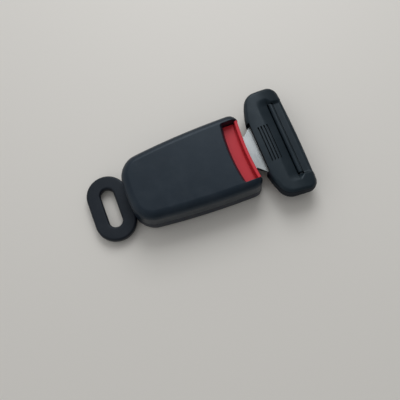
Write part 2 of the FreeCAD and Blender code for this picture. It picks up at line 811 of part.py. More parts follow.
def tongue_cover():
    """Black head moulded round the plate, with grip grooves, the webbing pocket and its slot."""
    head = head_form()
    recess = band(head_rear_x - past, head_rear_x + head_recess_depth, head_shoulder - head_recess_play,
                  head_bottom - past, head_top + past)
    step = band(head_front_x - head_front_step, head_front_x + past, pocket_half_length, head_bottom - past,
                head_top + past)
    head = head.cut(recess).cut(step)
    for number in range(grip_count):
        x = head_rear_x + grip_setback + number * grip_pitch
        head = head.cut(stadium(x, grip_half_length, grip_width / 2, head_top - grip_depth, head_top + past))
    head = head.cut(pocket_form()).cut(strap_slot())
    return head.cut(tongue_plate()).cut(webbing_bar())


pieces = {
    "upper_cover": upper_cover(),
    "lower_cover": lower_cover(),
    "press_button": press_button(),
    "button_spring_left": button_spring(1),
    "button_spring_right": button_spring(-1),
    "anchor_plate": anchor_plate(),
    "eye_coating": eye_coating(),
    "anchor_rivets": anchor_rivets(),
    "frame_channel": frame_channel(),
    "mouth_guide": mouth_guide(),
    "guide_rivets": guide_rivets(),
    "latch_pin": latch_pin(),
    "latch_lever": latch_lever(),
    "latch_spring": latch_spring(),
    "lock_slide": lock_slide(),
    "lock_springs": lock_springs(),
    "ejector": ejector(),
    "ejector_spring": ejector_spring(),
    "spring_block": spring_block(),
    "tongue_plate": tongue_plate(),
    "tongue_cover": tongue_cover(),
    "webbing_bar": webbing_bar(),
}

os.makedirs("parts", exist_ok=True)
for name, shape in pieces.items():
    shape.exportStep("parts/" + name + ".step")
    print(name, "solids", len(shape.Solids), "valid", shape.isValid(), "volume", round(shape.Volume, 1))
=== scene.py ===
import math

import bmesh
import bpy
from mathutils import Matrix, Vector


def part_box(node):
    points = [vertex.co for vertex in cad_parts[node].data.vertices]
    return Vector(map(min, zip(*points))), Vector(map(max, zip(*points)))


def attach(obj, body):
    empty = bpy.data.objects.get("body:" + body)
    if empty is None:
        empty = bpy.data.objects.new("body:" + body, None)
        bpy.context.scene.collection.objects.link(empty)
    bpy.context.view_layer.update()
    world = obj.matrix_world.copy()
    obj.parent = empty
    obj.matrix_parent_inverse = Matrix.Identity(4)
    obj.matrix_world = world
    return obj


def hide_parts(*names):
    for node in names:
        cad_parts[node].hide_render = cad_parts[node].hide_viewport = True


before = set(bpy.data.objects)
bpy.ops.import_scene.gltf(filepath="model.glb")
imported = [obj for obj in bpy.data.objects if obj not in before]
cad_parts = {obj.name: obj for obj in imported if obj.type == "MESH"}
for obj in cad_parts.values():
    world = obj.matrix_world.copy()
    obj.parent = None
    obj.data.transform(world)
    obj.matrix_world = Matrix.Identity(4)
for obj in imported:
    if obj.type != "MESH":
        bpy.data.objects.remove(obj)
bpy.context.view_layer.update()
mm = 0.001

# The floor, the light and the camera
# A pale floor far wider than the set, a soft lamp from above its far side, and a room that is brighter
# towards the window at the far left than behind the camera. A long lens looks down on the set.
floor_half_width = 2.5
floor_colour = (0.82, 0.807, 0.776)
floor_roughness = 0.5
lamp_energy = 2.3
lamp_size = 0.50
lamp_place = Vector((0.20, 0.52, 0.60))
room_colour = (1.0, 0.99, 0.97)
room_bright_side = (-0.65, 0.75, 0.1)
room_dark = 0.10
room_bright = 0.72
view_centre = Vector((-2.3 * mm, -13.15 * mm, 0.0))
view_distance = 423.5 * mm
view_bearing = math.radians(-13.1)
view_lean = math.radians(18.4)
view_roll = math.radians(-8.1)
lens_length = 63.0
film_width = 36.0
nearest_seen = 10 * mm

floor_form = bmesh.new()
bmesh.ops.create_grid(floor_form, x_segments=2, y_segments=2, size=floor_half_width)
floor_mesh = bpy.data.meshes.new("floor")
floor_form.to_mesh(floor_mesh)
floor_form.free()
floor = bpy.data.objects.new("floor", floor_mesh)
bpy.context.scene.collection.objects.link(floor)
floor_paint = bpy.data.materials.new("pale floor")
floor_paint.use_nodes = True
floor_surface = floor_paint.node_tree.nodes["Principled BSDF"]
floor_surface.inputs["Base Color"].default_value = (*floor_colour, 1.0)
floor_surface.inputs["Roughness"].default_value = floor_roughness
floor_mesh.materials.append(floor_paint)

lamp_light = bpy.data.lights.new("lamp", "AREA")
lamp_light.shape = "SQUARE"
lamp_light.size = lamp_size
lamp_light.energy = lamp_energy
lamp = bpy.data.objects.new("lamp", lamp_light)
lamp_aim = (view_centre - lamp_place).to_track_quat("-Z", "Y")
lamp.matrix_world = Matrix.LocRotScale(lamp_place, lamp_aim, None)
bpy.context.scene.collection.objects.link(lamp)

room = bpy.data.worlds.new("room")
room.use_nodes = True
room_tree = room.node_tree
room_light = room_tree.nodes["Background"]
room_light.inputs["Color"].default_value = (*room_colour, 1.0)
direction = room_tree.nodes.new("ShaderNodeTexCoord")
towards = room_tree.nodes.new("ShaderNodeVectorMath")
towards.operation = "DOT_PRODUCT"
towards.inputs[1].default_value = room_bright_side
room_tree.links.new(direction.outputs["Generated"], towards.inputs[0])
strength = room_tree.nodes.new("ShaderNodeMapRange")
strength.inputs["From Min"].default_value = -1.0
strength.inputs["To Min"].default_value = room_dark
strength.inputs["To Max"].default_value = room_bright
room_tree.links.new(towards.outputs["Value"], strength.inputs["Value"])
room_tree.links.new(strength.outputs["Result"], room_light.inputs["Strength"])
bpy.context.scene.world = room

lens = bpy.data.cameras.new("camera")
lens.lens = lens_length
lens.sensor_width = film_width
lens.clip_start = nearest_seen
camera = bpy.data.objects.new("camera", lens)
camera.matrix_world = (
    Matrix.Translation(view_centre)
    @ Matrix.Rotation(view_bearing, 4, "Z")
    @ Matrix.Rotation(view_lean, 4, "X")
    @ Matrix.Rotation(view_roll, 4, "Z")
    @ Matrix.Translation((0.0, 0.0, view_distance))
)
bpy.context.scene.collection.objects.link(camera)
bpy.context.scene.camera = camera
bpy.context.scene.view_settings.view_transform = "Standard"

# Upper cover
# The black top shell of the buckle, moulded in one shot of satin plastic. It snaps onto the lower cover
# along the seam. A notch in its front, whose walls lean out at the top, shows the red button.
upper_low, upper_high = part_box("upper_cover")
button_low, button_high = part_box("press_button")
rear_x = upper_low.x
front_x = upper_high.x + 0.9 * mm
seam_z = upper_low.z
roof_z = upper_high.z
wall = 2.0 * mm
front_half_width = 24.3 * mm
middle_half_width = 23.6 * mm
rear_half_width = 19.7 * mm
rear_bow = 1.2 * mm
rear_corner_radius = 11.0 * mm
front_corner_radius = 5.7 * mm
top_edge_radius = 5.0 * mm
bottom_edge_radius = 3.0 * mm
notch_x = upper_high.x - 10.9 * mm
notch_sagitta = 1.8 * mm
notch_side_gap = 0.4 * mm
notch_half_width = button_high.y + notch_side_gap
notch_corner_radius = 1.2 * mm
notch_rim_radius = 0.3 * mm
notch_rear_lean = 2.0 * mm
notch_side_lean = 0.3 * mm
notch_lean_height = 2.4 * mm
notch_arc_steps = 24
passage_z = 16.3 * mm
seam_groove = 0.35 * mm
snap_places = [(rear_x + 17.0 * mm, side * 17.15 * mm) for side in (-1, 1)]
snap_socket_radius = 2.6 * mm
snap_socket_lift = 1.0 * mm
snap_hole_radius = 1.5 * mm
snap_hole_top = 13.3 * mm
lock_stop_x = -17.375 * mm
lock_stop_thickness = 2.0 * mm
lock_stop_side = 9.0 * mm
lock_stop_half_width = 2.0 * mm
lock_stop_bottom = 17.1 * mm
rim_fold = 0.6
tiny = 0.01 * mm
past = 1.0 * mm
bite = past / 4
shell_dark = (0.0078, 0.0146, 0.0248)
shell_light = (0.0110, 0.0192, 0.0308)
shell_roughness = 0.34
plastic_shine = 0.31
plastic_tint = (0.76, 0.89, 1.0)
shell_grain_scale = 1900.0
shell_grain_depth = 0.10
cloud_scale = 46.0
gloss_patch_scale = 140.0
gloss_change = 0.06
dust_cell_scale = 150.0
dust_radius = 0.045
dust_core = 0.025
dust_film_scale = 75.0
dust_film_cover = 0.02
dust_colour = (0.42, 0.45, 0.48)
dust_roughness = 0.9
plastic_bump = 0.1 * mm


def put(tree, kind, inputs=None, **settings):
    """Adds a node, sets it, and feeds its inputs with values or with other nodes' outputs."""
    node = tree.nodes.new(kind)
    for name, value in settings.items():
        setattr(node, name, value)
    for name, value in (inputs or {}).items():
        if isinstance(value, bpy.types.NodeSocket):
            tree.links.new(value, node.inputs[name])
        else:
            node.inputs[name].default_value = value
    return node


def start_group(name, inputs, outputs):
    """Starts a group of nodes and gives back its tree, its inputs and its end."""
    tree = bpy.data.node_groups.new(name, "ShaderNodeTree")
    for label, kind in inputs.items():
        tree.interface.new_socket(name=label, in_out="INPUT", socket_type=kind)
    for label, kind in outputs.items():
        tree.interface.new_socket(name=label, in_out="OUTPUT", socket_type=kind)
    return tree, tree.nodes.new("NodeGroupInput").outputs, tree.nodes.new("NodeGroupOutput")


def moulded_surface_group():
    """Plastic as it leaves the mould: cloudy colour, fine grain and a gloss that varies a little."""
    tree, given, end = start_group(
        "moulded surface",
        {"Dark": "NodeSocketColor", "Light": "NodeSocketColor", "Roughness": "NodeSocketFloat",
         "Grain Scale": "NodeSocketFloat"},
        {"Color": "NodeSocketColor", "Roughness": "NodeSocketFloat", "Height": "NodeSocketFloat"},
    )
    place = put(tree, "ShaderNodeTexCoord").outputs["Object"]
    clouds = put(tree, "ShaderNodeTexNoise", {"Vector": place, "Scale": cloud_scale, "Detail": 3.0,
                                              "Roughness": 0.6})
    spread = put(tree, "ShaderNodeMapRange", {"Value": clouds.outputs["Fac"], "From Min": 0.35,
                                              "From Max": 0.65})
    colour = put(tree, "ShaderNodeMix", {"Factor": spread.outputs["Result"], 6: given["Dark"],
                                         7: given["Light"]}, data_type="RGBA")
    grain = put(tree, "ShaderNodeTexNoise", {"Vector": place, "Scale": given["Grain Scale"], "Detail": 1.0})
    rubbed = put(tree, "ShaderNodeTexNoise", {"Vector": place, "Scale": gloss_patch_scale, "Detail": 4.0,
                                              "Roughness": 0.7})
    shift = put(tree, "ShaderNodeMapRange", {"Value": rubbed.outputs["Fac"], "From Min": 0.3,
                                             "From Max": 0.7, "To Min": -gloss_change,
                                             "To Max": gloss_change})
    gloss = put(tree, "ShaderNodeMath", {0: given["Roughness"], 1: shift.outputs["Result"]}, operation="ADD")
    tree.links.new(colour.outputs[2], end.inputs["Color"])
    tree.links.new(gloss.outputs["Value"], end.inputs["Roughness"])
    tree.links.new(grain.outputs["Fac"], end.inputs["Height"])
    return tree


def dust_group():
    """A few pale specks of lint and dust, one in a random few of the cells of a coarse pattern."""
    tree, given, end = start_group(
        "dust",
        {"Color": "NodeSocketColor", "Roughness": "NodeSocketFloat", "Amount": "NodeSocketFloat"},
        {"Color": "NodeSocketColor", "Roughness": "NodeSocketFloat"},
    )
    place = put(tree, "ShaderNodeTexCoord").outputs["Object"]
    cells = put(tree, "ShaderNodeTexVoronoi", {"Vector": place, "Scale": dust_cell_scale})
    near = put(tree, "ShaderNodeMapRange", {"Value": cells.outputs["Distance"], "From Min": dust_radius,
                                            "From Max": dust_core})
    chance = put(tree, "ShaderNodeSeparateColor", {"Color": cells.outputs["Color"]})
    chosen = put(tree, "ShaderNodeMath", {0: chance.outputs["Red"], 1: given["Amount"]},
                 operation="LESS_THAN")
    speck = put(tree, "ShaderNodeMath", {0: near.outputs["Result"], 1: chosen.outputs["Value"]},
                operation="MULTIPLY")
    film = put(tree, "ShaderNodeTexNoise", {"Vector": place, "Scale": dust_film_scale, "Detail": 5.0,
                                            "Roughness": 0.75})
    haze = put(tree, "ShaderNodeMapRange", {"Value": film.outputs["Fac"], "From Min": 0.45, "From Max": 0.8,
                                            "To Max": dust_film_cover})
    cover = put(tree, "ShaderNodeMath", {0: speck.outputs["Value"], 1: haze.outputs["Result"]},
                operation="MAXIMUM")
    colour = put(tree, "ShaderNodeMix", {"Factor": cover.outputs["Value"], 6: given["Color"],
                                         7: (*dust_colour, 1.0)}, data_type="RGBA")
    gloss = put(tree, "ShaderNodeMix", {"Factor": cover.outputs["Value"], 2: given["Roughness"],
                                        3: dust_roughness})
    tree.links.new(colour.outputs[2], end.inputs["Color"])
    tree.links.new(gloss.outputs[0], end.inputs["Roughness"])
    return tree


moulded_surface = moulded_surface_group()
dust = dust_group()


def plastic(name, dark, light, roughness, grain_scale, grain_depth, specks):
    """A moulded plastic with its grain and a little dust."""
    paint = bpy.data.materials.new(name)
    paint.use_nodes = True
    tree = paint.node_tree
    surface = tree.nodes["Principled BSDF"]
    surface.inputs["Specular IOR Level"].default_value = plastic_shine
    surface.inputs["Specular Tint"].default_value = (*plastic_tint, 1.0)
    mould = put(tree, "ShaderNodeGroup", node_tree=moulded_surface)
    mould.inputs["Dark"].default_value = (*dark, 1.0)
    mould.inputs["Light"].default_value = (*light, 1.0)
    mould.inputs["Roughness"].default_value = roughness
    mould.inputs["Grain Scale"].default_value = grain_scale
    dusted = put(tree, "ShaderNodeGroup", node_tree=dust)
    dusted.inputs["Amount"].default_value = specks
    tree.links.new(mould.outputs["Color"], dusted.inputs["Color"])
    tree.links.new(mould.outputs["Roughness"], dusted.inputs["Roughness"])
    tree.links.new(dusted.outputs["Color"], surface.inputs["Base Color"])
    tree.links.new(dusted.outputs["Roughness"], surface.inputs["Roughness"])
    grain = put(tree, "ShaderNodeBump", {"Height": mould.outputs["Height"], "Strength": grain_depth,
                                         "Distance": plastic_bump})
    tree.links.new(grain.outputs["Normal"], surface.inputs["Normal"])
    return paint


shell_plastic = plastic("shell plastic", shell_dark, shell_light, shell_roughness, shell_grain_scale,
                        shell_grain_depth, specks=0.02)


def block(x0, x1, y0, y1, z0, z1):
    """A plain block between two corners."""
    form = bmesh.new()
    bmesh.ops.create_cube(form, size=1.0)
    bmesh.ops.scale(form, vec=(x1 - x0, y1 - y0, z1 - z0), verts=form.verts)
    bmesh.ops.translate(form, vec=((x0 + x1) / 2, (y0 + y1) / 2, (z0 + z1) / 2), verts=form.verts)
    return form


def round_post(x, y, radius, z0, z1, sides=32):
    """A round post that stands up."""
    form = bmesh.new()
    bmesh.ops.create_cone(form, cap_ends=True, segments=sides, radius1=radius, radius2=radius, depth=z1 - z0)
    bmesh.ops.translate(form, vec=(x, y, (z0 + z1) / 2), verts=form.verts)
    return form


def round_edges(form, edges, radius, segments):
    """Rounds the chosen edges of a form with a true arc."""
    bmesh.ops.bevel(
        form, geom=edges, offset=radius, offset_type="OFFSET", segments=segments, profile=0.5,
        affect="EDGES", material=-1, clamp_overlap=False,
    )


def sliced(form, place, outward, clear_outer=False):
    """Cuts a form's faces along a plane, and drops what lies beyond the plane if that is asked for."""
    return bmesh.ops.bisect_plane(
        form, geom=form.verts[:] + form.edges[:] + form.faces[:], plane_co=place, plane_no=outward,
        clear_outer=clear_outer,
    )


def upright_edges(form):
    """The edges that stand straight up."""
    return [e for e in form.edges if (e.verts[0].co - e.verts[1].co).xy.length < tiny]


def level_edges(form, height):
    """The edges that lie flat at one height and bound a face that isn't."""
    return [
        e for e in form.edges
        if all(abs(v.co.z - height) < tiny for v in e.verts)
        and any(abs(f.normal.z) < 0.99 for f in e.link_faces)
    ]


def combined(form, tool, operation):
    """Joins a second form to the first, takes it away from the first, or keeps what they share."""
    blanks = []
    for shape in (form, tool):
        bmesh.ops.recalc_face_normals(shape, faces=shape.faces)
        mesh = bpy.data.meshes.new("blank")
        shape.to_mesh(mesh)
        shape.free()
        blank = bpy.data.objects.new("blank", mesh)
        bpy.context.scene.collection.objects.link(blank)
        blanks.append(blank)
    change = blanks[0].modifiers.new("change", "BOOLEAN")
    change.object = blanks[1]
    change.operation = operation
    change.solver = "EXACT"
    result = bmesh.new()
    result.from_object(blanks[0], bpy.context.evaluated_depsgraph_get())
    for blank in blanks:
        mesh = blank.data
        bpy.data.objects.remove(blank)
        bpy.data.meshes.remove(mesh)
    bmesh.ops.remove_doubles(result, verts=result.verts, dist=tiny / 2)
    return result


def half_width_at(x, inset):
    """Half the housing's width at one place: a long bow through its rear, middle and front widths."""
    place = 2 * (x - rear_x) / (front_x - rear_x) - 1
    slope = (front_half_width - rear_half_width) / 2
    bow = (front_half_width + rear_half_width) / 2 - middle_half_width
    return middle_half_width + slope * place + bow * place * place - inset


def housing_form(inset, low, high, side_cuts=16, corner_segments=12, edge_segments=8):
    """The housing's outer shape, or the same shape drawn inside it by an inset."""
    half = front_half_width - inset
    form = block(rear_x + inset, front_x - inset, -half, half, low, high)
    middle_x = (rear_x + front_x) / 2
    rear_edges = [e for e in upright_edges(form) if e.verts[0].co.x < middle_x]
    round_edges(form, rear_edges, rear_corner_radius - inset, corner_segments)
    front_edges = [e for e in upright_edges(form) if e.verts[0].co.x > front_x - inset - tiny]
    round_edges(form, front_edges, front_corner_radius - inset, corner_segments)
    long_edges = [e for e in form.edges if e.calc_length() > rear_corner_radius
                  and abs(e.verts[0].co.z - e.verts[1].co.z) < tiny]
    bmesh.ops.subdivide_edges(form, edges=long_edges, cuts=side_cuts, use_grid_fill=True)
    for vert in form.verts:
        spread = vert.co.y / half
        side = max(-1.0, min(1.0, vert.co.y / (half - rear_corner_radius)))
        forward = (vert.co.x - rear_x) / (front_x - rear_x)
        vert.co.y += side * (half_width_at(vert.co.x, inset) - half)
        vert.co.x += rear_bow * spread * spread * (1 - forward) ** 2
    round_edges(form, level_edges(form, high), top_edge_radius - inset, edge_segments)
    round_edges(form, level_edges(form, low), bottom_edge_radius - inset, edge_segments)
    return form


def notch_form(low, high, rear_lean=0.0, side_lean=0.0):
    """The notch's outline, bowed to the rear, from one height to another, with walls that may lean out."""
    form = block(notch_x + notch_sagitta, front_x + past, -notch_half_width, notch_half_width, low, high)
    corners = [e for e in upright_edges(form) if e.verts[0].co.x < front_x]
    round_edges(form, corners, notch_corner_radius, segments=5)
    rear_edges = [e for e in form.edges if e.calc_length() > notch_half_width
                  and all(v.co.x < notch_x + notch_sagitta + tiny for v in e.verts)]
    bmesh.ops.subdivide_edges(form, edges=rear_edges, cuts=notch_arc_steps)
    for vert in form.verts:
        if vert.co.x < front_x:
            vert.co.x -= notch_sagitta * (1 - (vert.co.y / notch_half_width) ** 2)
        if vert.co.z > high - tiny:
            vert.co.x -= rear_lean
            vert.co.y *= (notch_half_width + side_lean) / notch_half_width
    return form


def seam_groove_form(height):
    """A ring that cuts the fine groove where the two covers meet."""
    ring = block(rear_x - past, front_x + past, -2 * front_half_width, 2 * front_half_width,
                 height - seam_groove / 2, height + seam_groove / 2)
    return combined(ring, housing_form(seam_groove, -past, roof_z + past), "DIFFERENCE")


def piece_from(form, name, crease=math.radians(32)):
    """Makes an object of a finished form, smooth except where its faces meet at a crease."""
    bmesh.ops.dissolve_degenerate(form, dist=tiny, edges=form.edges)
    bmesh.ops.recalc_face_normals(form, faces=form.faces)
    mesh = bpy.data.meshes.new(name)
    form.to_mesh(mesh)
    form.free()
    mesh.shade_smooth()
    mesh.set_sharp_from_angle(angle=crease)
    piece = bpy.data.objects.new(name, mesh)
    bpy.context.scene.collection.objects.link(piece)
    even = piece.modifiers.new("even shading", "WEIGHTED_NORMAL")
    even.keep_sharp = True
    return piece


wide = 2 * front_half_width
cover = housing_form(0, 0, roof_z)
upper_band = block(rear_x - past, front_x + past, -wide, wide, seam_z, roof_z + past)
cover = combined(cover, upper_band, "INTERSECT")
hollow = housing_form(wall, wall, roof_z - wall)
hollow = combined(hollow, block(rear_x, notch_x - wall, -wide, wide, 0, roof_z), "INTERSECT")
cover = combined(cover, hollow, "DIFFERENCE")
cover = combined(cover, notch_form(seam_z - past, roof_z + past), "DIFFERENCE")
passage = block(notch_x - wall - past, front_x + past, -notch_half_width, notch_half_width, seam_z - past,
                passage_z)
cover = combined(cover, passage, "DIFFERENCE")
leaning = notch_form(roof_z - notch_lean_height, roof_z + past, notch_rear_lean, notch_side_lean)
cover = combined(cover, leaning, "DIFFERENCE")
rim = [
    e for e in cover.edges
    if len(e.link_faces) == 2 and e.calc_face_angle() > rim_fold
    and all(abs(v.co.y) < notch_half_width + notch_side_lean + tiny for v in e.verts)
    and all(v.co.x > notch_x - notch_rear_lean - tiny for v in e.verts)
    and all(v.co.z > passage_z + past for v in e.verts)
    and (e.verts[0].co - e.verts[1].co).xy.length > tiny
]
round_edges(cover, rim, notch_rim_radius, segments=2)
cover = combined(cover, seam_groove_form(seam_z), "DIFFERENCE")
for snap_x, snap_y in snap_places:
    socket = round_post(snap_x, snap_y, snap_socket_radius, seam_z + snap_socket_lift, roof_z - wall)
    socket = combined(socket, housing_form(wall - bite, wall, roof_z - wall + bite), "INTERSECT")
    cover = combined(cover, socket, "UNION")
    snap_hole = round_post(snap_x, snap_y, snap_hole_radius, seam_z, snap_hole_top)
    cover = combined(cover, snap_hole, "DIFFERENCE")
for side in (-1, 1):
    stop_y = side * lock_stop_side
    stop = block(lock_stop_x, lock_stop_x + lock_stop_thickness, stop_y - lock_stop_half_width,
                 stop_y + lock_stop_half_width, lock_stop_bottom, roof_z - wall + bite)
    cover = combined(cover, stop, "UNION")
upper_cover = piece_from(cover, "upper_shell")
upper_cover.data.materials.append(shell_plastic)
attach(upper_cover, "housing")
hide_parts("upper_cover")

# Lower cover
# The black bottom shell, moulded like the upper one. It carries the sill under the blade, a lip that keys
# into the upper cover, the ribs that the frame sits on, the snap posts and the stops of the button springs.
lip_thickness = 0.9 * mm
lip_height = 1.2 * mm
eye_gap = 0.3 * mm
coat_low, coat_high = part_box("eye_coating")
shank_low, shank_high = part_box("anchor_plate")
frame_low, frame_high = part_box("frame_channel")
shank_room_half_width = 10.3 * mm
floor_z = wall - past / 2
rib_width = 2.0 * mm
rib_places = (-3.825 * mm, 23.925 * mm)
snap_post_radius = 1.4 * mm
snap_post_top = 13.0 * mm
spring_stop_x = -21.575 * mm
spring_stop_thickness = 2.0 * mm
spring_stop_inner = 16.2 * mm
spring_stop_top = 16.0 * mm
pin_mark_radius = 2.6 * mm
pin_mark_depth = 0.12 * mm
pin_mark_places = [(x * mm, y * mm) for x in (-24, 4, 26) for y in (-13, 13)]
# The lower cover's colours are a little darker than the upper cover's: painted shade along the foot of the
# housing.
lower_dark = (0.0065, 0.0110, 0.0230)
lower_light = (0.0090, 0.0140, 0.0280)


def eye_ring_form(grow, low, high):
    """The outline of the eye's coat from above, grown by a gap."""
    half_width = (coat_high.x - coat_low.x) / 2
    middle_x = (coat_high.x + coat_low.x) / 2
    form = block(middle_x - half_width - grow, middle_x + half_width + grow,
                 coat_low.y - grow, coat_high.y + grow, low, high)
    round_edges(form, upright_edges(form), half_width + grow - tiny, segments=16)
    return form


cover = housing_form(0, 0, roof_z)
lower_band = block(rear_x - past, front_x + past, -wide, wide, -past, seam_z)
cover = combined(cover, lower_band, "INTERSECT")
cover = combined(cover, housing_form(wall, wall, roof_z - wall), "DIFFERENCE")
cover = combined(cover, seam_groove_form(seam_z), "DIFFERENCE")
lip = housing_form(wall - lip_thickness, wall / 2, roof_z - wall / 2)
lip_band = block(rear_x, notch_x - 2 * wall, -wide, wide, seam_z - past, seam_z + lip_height)
lip = combined(lip, lip_band, "INTERSECT")
lip = combined(lip, housing_form(wall, wall, roof_z - wall), "DIFFERENCE")
cover = combined(cover, lip, "UNION")
eye_room = eye_ring_form(eye_gap, coat_low.z - eye_gap, coat_high.z + eye_gap)
cover = combined(cover, eye_room, "DIFFERENCE")
shank_room = block(coat_low.x, rear_x + 3 * wall, -shank_room_half_width, shank_room_half_width,
                   shank_low.z - eye_gap, shank_high.z + eye_gap)
cover = combined(cover, shank_room, "DIFFERENCE")
for rib_x in rib_places:
    rib = block(rib_x, rib_x + rib_width, frame_low.y, frame_high.y, floor_z, frame_low.z)
    cover = combined(cover, rib, "UNION")
rib = block(frame_low.x, shank_high.x, -rib_width, rib_width, floor_z, shank_low.z)
cover = combined(cover, rib, "UNION")
for snap_x, snap_y in snap_places:
    cover = combined(cover, round_post(snap_x, snap_y, snap_post_radius, floor_z, snap_post_top), "UNION")
for side in (-1, 1):
    inner, outer = sorted((side * spring_stop_inner, side * button_high.y))
    stop = block(spring_stop_x - spring_stop_thickness, spring_stop_x, inner, outer, floor_z,
                 spring_stop_top)
    cover = combined(cover, stop, "UNION")
for mark_x, mark_y in pin_mark_places:
    mark = round_post(mark_x, mark_y, pin_mark_radius, -past, pin_mark_depth, sides=40)
    cover = combined(cover, mark, "DIFFERENCE")
lower_cover = piece_from(cover, "lower_shell")
lower_plastic = plastic("lower shell plastic", lower_dark, lower_light, roughness=0.46,
                        grain_scale=1500.0, grain_depth=0.14, specks=0.02)
lower_cover.data.materials.append(lower_plastic)
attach(lower_cover, "housing")
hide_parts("lower_cover")

# Press button
# The red button in the notch, moulded in one shot: a plate with a raised lip along its hollow front edge
# and a fine groove behind the lip, two rails at the sides and a finger that meets the lock slide.
button_front_x = button_high.x
button_top = 16.0 * mm
button_rear_x = 18.425 * mm
button_sagitta = 1.1 * mm
button_lip_width = 1.9 * mm
button_groove_width = 0.6 * mm
button_groove_depth = 0.8 * mm
button_edge_radius = 0.45 * mm
button_arc_steps = 48
button_spin_excess = 1.15
rail_width = 3.0 * mm
rail_drop = 0.5 * mm
finger_thickness = 2.0 * mm
finger_half_width = 6.0 * mm
red_dark = (0.650, 0.0300, 0.0440)
red_light = (0.700, 0.0350, 0.0500)


def trimmed(form, place, outward):
    """Cuts away what lies beyond a plane and closes the cut."""
    cut = sliced(form, place, outward, clear_outer=True)
    open_rim = [e for e in cut["geom_cut"] if isinstance(e, bmesh.types.BMEdge)]
    bmesh.ops.holes_fill(form, edges=open_rim, sides=0)


def button_form():
    """The button's section, swept along the arc of its hollow front edge."""
    half = button_high.y
    radius = (half * half + button_sagitta * button_sagitta) / (2 * button_sagitta)
    front = button_front_x - button_sagitta
    lip_rear = front - button_lip_width
    groove_rear = lip_rear - button_groove_width
    groove_z = button_top - button_groove_depth
    rear = button_rear_x - 2 * button_sagitta
    outline = [
        (rear, button_low.z), (front, button_low.z), (front, button_high.z), (lip_rear, button_high.z),
        (lip_rear, groove_z), (groove_rear, groove_z), (groove_rear, button_top), (rear, button_top),
    ]
    form = bmesh.new()
    verts = [form.verts.new((x, 0, z)) for x, z in outline]
    form.faces.new(verts)
    soft = [v for v in verts if v.co.x > rear + tiny and v.co.z > button_top - tiny]
    bmesh.ops.bevel(form, geom=soft, offset=button_edge_radius, segments=4, profile=0.5, affect="VERTICES",
                    material=-1, clamp_overlap=False)
    centre = (front + radius, 0, 0)
    swing = button_spin_excess * math.asin(half / radius)
    bmesh.ops.rotate(form, cent=centre, matrix=Matrix.Rotation(-swing, 3, "Z"), verts=form.verts)
    bmesh.ops.spin(form, geom=form.faces[:], cent=centre, axis=(0, 0, 1), angle=2 * swing,
                   steps=button_arc_steps)
    bmesh.ops.recalc_face_normals(form, faces=form.faces)
    trimmed(form, (0, half, 0), (0, 1, 0))
    trimmed(form, (0, -half, 0), (0, -1, 0))
    trimmed(form, (button_rear_x, 0, 0), (-1, 0, 0))
    return form


button = button_form()
for side in (-1, 1):
    inner, outer = sorted((side * (button_high.y - rail_width), side * button_high.y))
    rail = block(button_low.x, button_rear_x + past / 2, inner, outer, button_low.z, button_top - rail_drop)
    button = combined(button, rail, "UNION")
finger = block(button_rear_x, button_rear_x + finger_thickness, -finger_half_width, finger_half_width,
               button_low.z + past / 2, button_high.z)
button = combined(button, finger, "UNION")
press_button = piece_from(button, "red_button")
red_plastic = plastic("red plastic", red_dark, red_light, roughness=0.42, grain_scale=2600.0,
                      grain_depth=0.06, specks=0.0)
press_button.data.materials.append(red_plastic)
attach(press_button, "button")
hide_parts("press_button")

# Springs
# Six compression springs of round music wire with closed ends: one behind each rail of the button, one over
# the lever's tail, a pair behind the lock slide and one behind the ejector.
wire_radius = 0.25 * mm
coil_pitch = 2.2 * mm
end_turn_pitch = 0.55 * mm
coil_steps = 20
wire_sides = 8
rail_spring_radius = 1.5 * mm
slide_spring_radius = 1.2 * mm
slide_spring_side = 9.0 * mm
ejector_coil_radius = 1.45 * mm
lever_spring_radius = 1.5 * mm
metal_cloud_scale = 95.0
metal_gloss_change = 0.09
metal_bump = 0.05 * mm
steel_wire_dark = (0.20, 0.20, 0.21)
steel_wire_light = (0.34, 0.34, 0.35)


def metal_surface_group():
    """Bare or plated steel: grain drawn out along one direction, cloudy plating and fine pits."""
    tree, given, end = start_group(
        "metal surface",
        {"Dark": "NodeSocketColor", "Light": "NodeSocketColor", "Roughness": "NodeSocketFloat",
         "Grain Scale": "NodeSocketVector"},
        {"Color": "NodeSocketColor", "Roughness": "NodeSocketFloat", "Height": "NodeSocketFloat"},
    )
    place = put(tree, "ShaderNodeTexCoord").outputs["Object"]
    clouds = put(tree, "ShaderNodeTexNoise", {"Vector": place, "Scale": metal_cloud_scale, "Detail": 4.0,
                                              "Roughness": 0.65})
    spread = put(tree, "ShaderNodeMapRange", {"Value": clouds.outputs["Fac"], "From Min": 0.3,
                                              "From Max": 0.7})
    colour = put(tree, "ShaderNodeMix", {"Factor": spread.outputs["Result"], 6: given["Dark"],
                                         7: given["Light"]}, data_type="RGBA")
    drawn = put(tree, "ShaderNodeVectorMath", {0: place, 1: given["Grain Scale"]}, operation="MULTIPLY")
    grain = put(tree, "ShaderNodeTexNoise", {"Vector": drawn.outputs["Vector"], "Scale": 1.0, "Detail": 3.0})
    shift = put(tree, "ShaderNodeMapRange", {"Value": grain.outputs["Fac"], "From Min": 0.3, "From Max": 0.7,
                                             "To Min": -metal_gloss_change, "To Max": metal_gloss_change})
    gloss = put(tree, "ShaderNodeMath", {0: given["Roughness"], 1: shift.outputs["Result"]}, operation="ADD")
    tree.links.new(colour.outputs[2], end.inputs["Color"])
    tree.links.new(gloss.outputs["Value"], end.inputs["Roughness"])
    tree.links.new(grain.outputs["Fac"], end.inputs["Height"])
    return tree


metal_surface = metal_surface_group()


